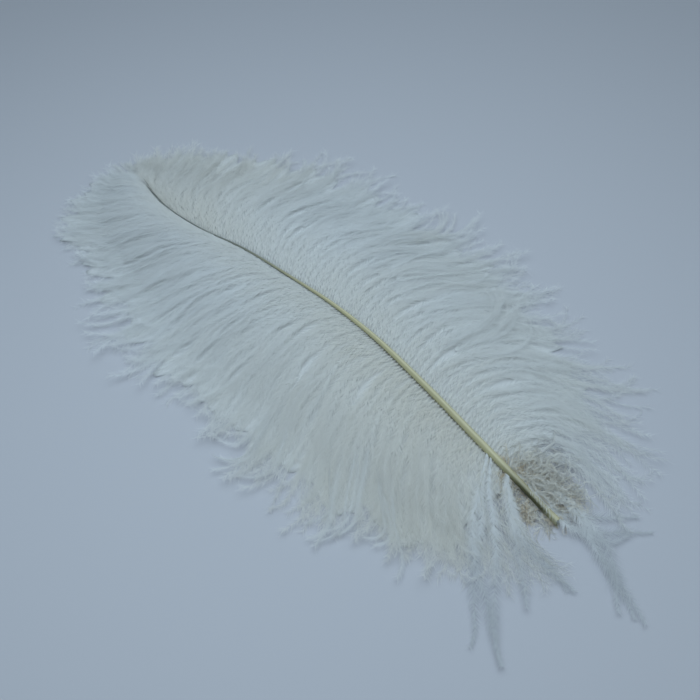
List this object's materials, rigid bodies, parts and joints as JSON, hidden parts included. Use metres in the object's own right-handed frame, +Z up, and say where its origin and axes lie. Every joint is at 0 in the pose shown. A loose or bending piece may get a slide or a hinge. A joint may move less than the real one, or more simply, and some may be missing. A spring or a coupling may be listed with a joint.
{
  "type": "ostrich feather",
  "caption": "White ostrich plume lying flat: a curved straw-coloured shaft with a bare quill end, full soft vanes of fluffy barbs to both sides and loose down at the quill.",
  "frame": {"origin": "middle of the plume's bounding box, on the surface it lies on", "axes": "+Y along the shaft from the quill to the tip, +Z up off the surface"},
  "size_m": [0.396, 0.7012, 0.0268],
  "materials": {
    "barbs": "soft matt, slightly translucent white down",
    "shaft": "smooth satin horn, straw coloured and darker at the cut quill"
  },
  "bodies": {
    "root": {"feather": "barbs"}
  },
  "joints": []
}
